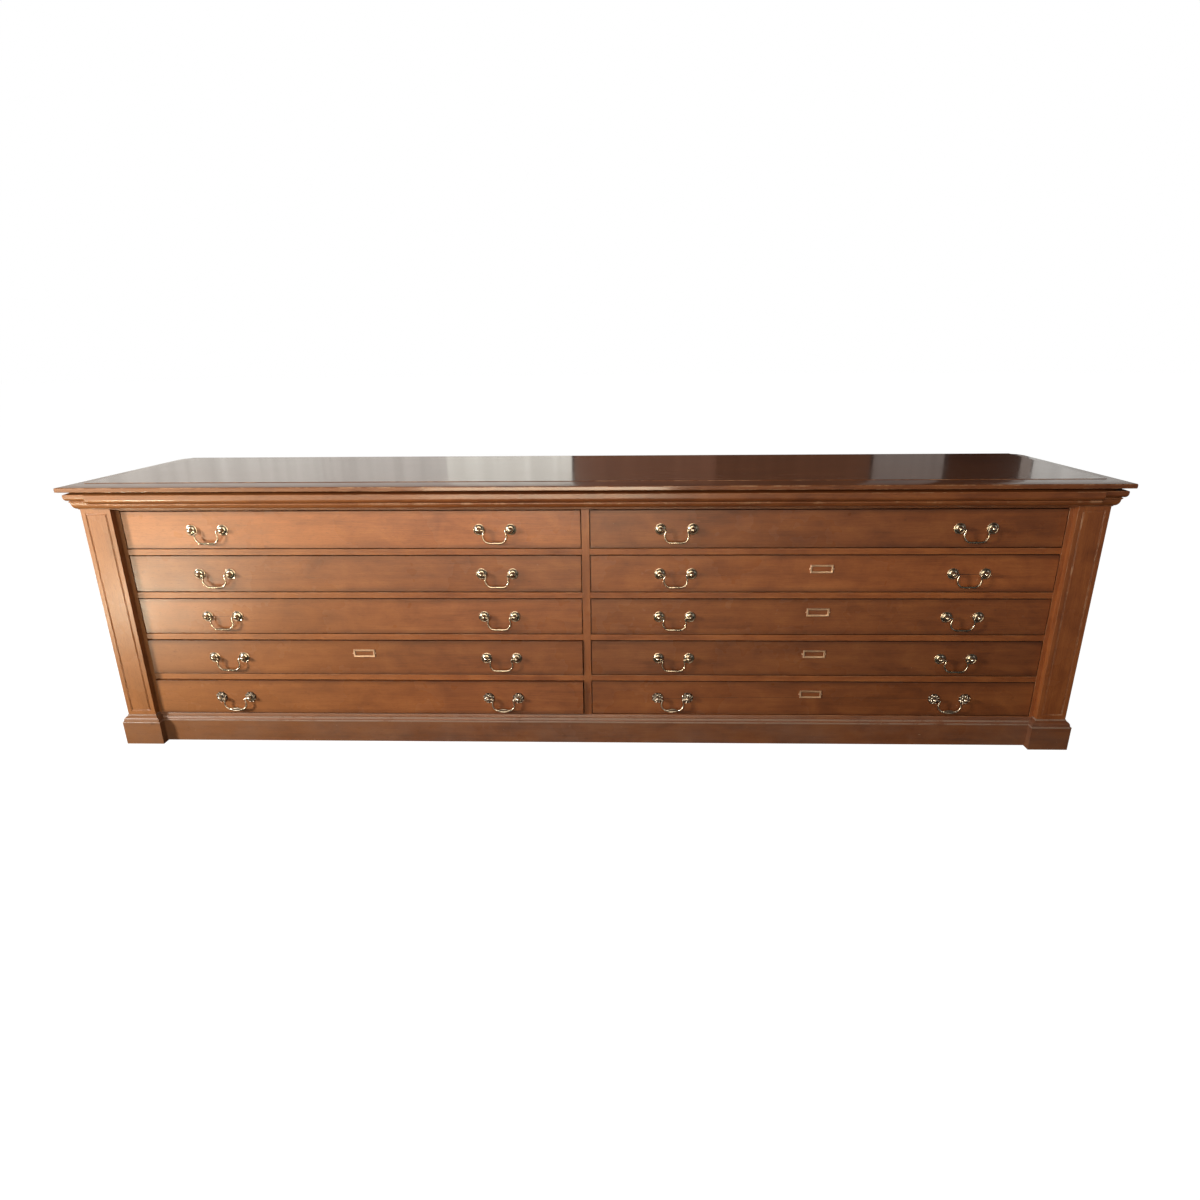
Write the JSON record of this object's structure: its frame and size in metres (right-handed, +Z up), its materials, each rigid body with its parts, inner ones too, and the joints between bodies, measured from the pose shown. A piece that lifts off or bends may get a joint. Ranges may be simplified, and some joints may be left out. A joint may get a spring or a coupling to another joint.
{
  "type": "flat file cabinet",
  "caption": "Long, low mahogany plan chest with two columns of shallow sliding drawers for flat sheets, brass bail handles and card frames.",
  "frame": {"origin": "on the floor, under the middle of the chest's overall box", "axes": "+X along the width to the right seen from the front, +Y to the wall side so the drawers face -Y, +Z up"},
  "size_m": [3.078, 0.728, 0.833],
  "materials": {
    "top_wood": "glossy old French polish on mahogany, lightly scratched",
    "case_wood": "worn satin polish on mahogany, chipped at its edges",
    "front_wood": "faded satin polish on mahogany",
    "inner_wood": "bare softwood, aged",
    "brass": "aged polished brass",
    "bronze": "dark antique patina with bright high points"
  },
  "bodies": {
    "cabinet": {"top_board": "top_wood", "cornice": "case_wood", "pilasters": "case_wood", "case_sides": "case_wood", "back_panel": "inner_wood", "centre_divider": "case_wood", "drawer_rails": "case_wood", "drawer_runners": "inner_wood", "bottom_board": "inner_wood", "plinth": "case_wood"},
    "drawer_l1": {"drawer_front_l1": "front_wood", "drawer_box_l1": "inner_wood", "drawer_hardware_l1": "brass"},
    "drawer_l2": {"drawer_front_l2": "front_wood", "drawer_box_l2": "inner_wood", "drawer_hardware_l2": "brass"},
    "drawer_l3": {"drawer_front_l3": "front_wood", "drawer_box_l3": "inner_wood", "drawer_hardware_l3": "brass"},
    "drawer_l4": {"drawer_front_l4": "front_wood", "drawer_box_l4": "inner_wood", "drawer_hardware_l4": "brass"},
    "drawer_l5": {"drawer_front_l5": "front_wood", "drawer_box_l5": "inner_wood", "drawer_hardware_l5": "bronze"},
    "drawer_r1": {"drawer_front_r1": "front_wood", "drawer_box_r1": "inner_wood", "drawer_hardware_r1": "brass"},
    "drawer_r2": {"drawer_front_r2": "front_wood", "drawer_box_r2": "inner_wood", "drawer_hardware_r2": "brass"},
    "drawer_r3": {"drawer_front_r3": "front_wood", "drawer_box_r3": "inner_wood", "drawer_hardware_r3": "brass"},
    "drawer_r4": {"drawer_front_r4": "front_wood", "drawer_box_r4": "inner_wood", "drawer_hardware_r4": "brass"},
    "drawer_r5": {"drawer_front_r5": "front_wood", "drawer_box_r5": "inner_wood", "drawer_hardware_r5": "bronze"},
    "bail_l1_left": {"bail_l1_left": "brass"},
    "bail_l1_right": {"bail_l1_right": "brass"},
    "bail_l2_left": {"bail_l2_left": "brass"},
    "bail_l2_right": {"bail_l2_right": "brass"},
    "bail_l3_left": {"bail_l3_left": "brass"},
    "bail_l3_right": {"bail_l3_right": "brass"},
    "bail_l4_left": {"bail_l4_left": "brass"},
    "bail_l4_right": {"bail_l4_right": "brass"},
    "bail_l5_left": {"bail_l5_left": "bronze"},
    "bail_l5_right": {"bail_l5_right": "bronze"},
    "bail_r1_left": {"bail_r1_left": "brass"},
    "bail_r1_right": {"bail_r1_right": "brass"},
    "bail_r2_left": {"bail_r2_left": "brass"},
    "bail_r2_right": {"bail_r2_right": "brass"},
    "bail_r3_left": {"bail_r3_left": "brass"},
    "bail_r3_right": {"bail_r3_right": "brass"},
    "bail_r4_left": {"bail_r4_left": "brass"},
    "bail_r4_right": {"bail_r4_right": "brass"},
    "bail_r5_left": {"bail_r5_left": "bronze"},
    "bail_r5_right": {"bail_r5_right": "bronze"}
  },
  "joints": [
    {"name": "drawer_l1_slide", "type": "slide", "parent": "cabinet", "child": "drawer_l1", "axis": [0, -1, 0], "range_m": [0, 0.5]},
    {"name": "drawer_l2_slide", "type": "slide", "parent": "cabinet", "child": "drawer_l2", "axis": [0, -1, 0], "range_m": [0, 0.5]},
    {"name": "drawer_l3_slide", "type": "slide", "parent": "cabinet", "child": "drawer_l3", "axis": [0, -1, 0], "range_m": [0, 0.5]},
    {"name": "drawer_l4_slide", "type": "slide", "parent": "cabinet", "child": "drawer_l4", "axis": [0, -1, 0], "range_m": [-0.004, 0.5]},
    {"name": "drawer_l5_slide", "type": "slide", "parent": "cabinet", "child": "drawer_l5", "axis": [0, -1, 0], "range_m": [-0.008, 0.5]},
    {"name": "drawer_r1_slide", "type": "slide", "parent": "cabinet", "child": "drawer_r1", "axis": [0, -1, 0], "range_m": [0, 0.5]},
    {"name": "drawer_r2_slide", "type": "slide", "parent": "cabinet", "child": "drawer_r2", "axis": [0, -1, 0], "range_m": [0, 0.5]},
    {"name": "drawer_r3_slide", "type": "slide", "parent": "cabinet", "child": "drawer_r3", "axis": [0, -1, 0], "range_m": [0, 0.5]},
    {"name": "drawer_r4_slide", "type": "slide", "parent": "cabinet", "child": "drawer_r4", "axis": [0, -1, 0], "range_m": [0, 0.5]},
    {"name": "drawer_r5_slide", "type": "slide", "parent": "cabinet", "child": "drawer_r5", "axis": [0, -1, 0], "range_m": [0, 0.5]},
    {"name": "bail_l1_left_swing", "type": "hinge", "parent": "drawer_l1", "child": "bail_l1_left", "pos_m": [-1.1402, -0.314, 0.6921], "axis": [-1, 0, 0], "range_deg": [-12, 180]},
    {"name": "bail_l1_right_swing", "type": "hinge", "parent": "drawer_l1", "child": "bail_l1_right", "pos_m": [-0.2698, -0.314, 0.6921], "axis": [-1, 0, 0], "range_deg": [-12, 180]},
    {"name": "bail_l2_left_swing", "type": "hinge", "parent": "drawer_l2", "child": "bail_l2_left", "pos_m": [-1.1402, -0.314, 0.5578], "axis": [-1, 0, 0], "range_deg": [-12, 180]},
    {"name": "bail_l2_right_swing", "type": "hinge", "parent": "drawer_l2", "child": "bail_l2_right", "pos_m": [-0.2698, -0.314, 0.5578], "axis": [-1, 0, 0], "range_deg": [-12, 180]},
    {"name": "bail_l3_left_swing", "type": "hinge", "parent": "drawer_l3", "child": "bail_l3_left", "pos_m": [-1.1402, -0.314, 0.4235], "axis": [-1, 0, 0], "range_deg": [-12, 180]},
    {"name": "bail_l3_right_swing", "type": "hinge", "parent": "drawer_l3", "child": "bail_l3_right", "pos_m": [-0.2698, -0.314, 0.4235], "axis": [-1, 0, 0], "range_deg": [-12, 180]},
    {"name": "bail_l4_left_swing", "type": "hinge", "parent": "drawer_l4", "child": "bail_l4_left", "pos_m": [-1.1402, -0.318, 0.2892], "axis": [-1, 0, 0], "range_deg": [-12, 180]},
    {"name": "bail_l4_right_swing", "type": "hinge", "parent": "drawer_l4", "child": "bail_l4_right", "pos_m": [-0.2698, -0.318, 0.2892], "axis": [-1, 0, 0], "range_deg": [-12, 180]},
    {"name": "bail_l5_left_swing", "type": "hinge", "parent": "drawer_l5", "child": "bail_l5_left", "pos_m": [-1.1402, -0.322, 0.1549], "axis": [-1, 0, 0], "range_deg": [-12, 180]},
    {"name": "bail_l5_right_swing", "type": "hinge", "parent": "drawer_l5", "child": "bail_l5_right", "pos_m": [-0.2698, -0.322, 0.1549], "axis": [-1, 0, 0], "range_deg": [-12, 180]},
    {"name": "bail_r1_left_swing", "type": "hinge", "parent": "drawer_r1", "child": "bail_r1_left", "pos_m": [0.2698, -0.314, 0.6921], "axis": [-1, 0, 0], "range_deg": [-12, 180]},
    {"name": "bail_r1_right_swing", "type": "hinge", "parent": "drawer_r1", "child": "bail_r1_right", "pos_m": [1.1402, -0.314, 0.6921], "axis": [-1, 0, 0], "range_deg": [-12, 180]},
    {"name": "bail_r2_left_swing", "type": "hinge", "parent": "drawer_r2", "child": "bail_r2_left", "pos_m": [0.2698, -0.314, 0.5578], "axis": [-1, 0, 0], "range_deg": [-12, 180]},
    {"name": "bail_r2_right_swing", "type": "hinge", "parent": "drawer_r2", "child": "bail_r2_right", "pos_m": [1.1402, -0.314, 0.5578], "axis": [-1, 0, 0], "range_deg": [-12, 180]},
    {"name": "bail_r3_left_swing", "type": "hinge", "parent": "drawer_r3", "child": "bail_r3_left", "pos_m": [0.2698, -0.314, 0.4235], "axis": [-1, 0, 0], "range_deg": [-12, 180]},
    {"name": "bail_r3_right_swing", "type": "hinge", "parent": "drawer_r3", "child": "bail_r3_right", "pos_m": [1.1402, -0.314, 0.4235], "axis": [-1, 0, 0], "range_deg": [-12, 180]},
    {"name": "bail_r4_left_swing", "type": "hinge", "parent": "drawer_r4", "child": "bail_r4_left", "pos_m": [0.2698, -0.314, 0.2892], "axis": [-1, 0, 0], "range_deg": [-12, 180]},
    {"name": "bail_r4_right_swing", "type": "hinge", "parent": "drawer_r4", "child": "bail_r4_right", "pos_m": [1.1402, -0.314, 0.2892], "axis": [-1, 0, 0], "range_deg": [-12, 180]},
    {"name": "bail_r5_left_swing", "type": "hinge", "parent": "drawer_r5", "child": "bail_r5_left", "pos_m": [0.2698, -0.314, 0.1549], "axis": [-1, 0, 0], "range_deg": [-12, 180]},
    {"name": "bail_r5_right_swing", "type": "hinge", "parent": "drawer_r5", "child": "bail_r5_right", "pos_m": [1.1402, -0.314, 0.1549], "axis": [-1, 0, 0], "range_deg": [-12, 180]}
  ]
}
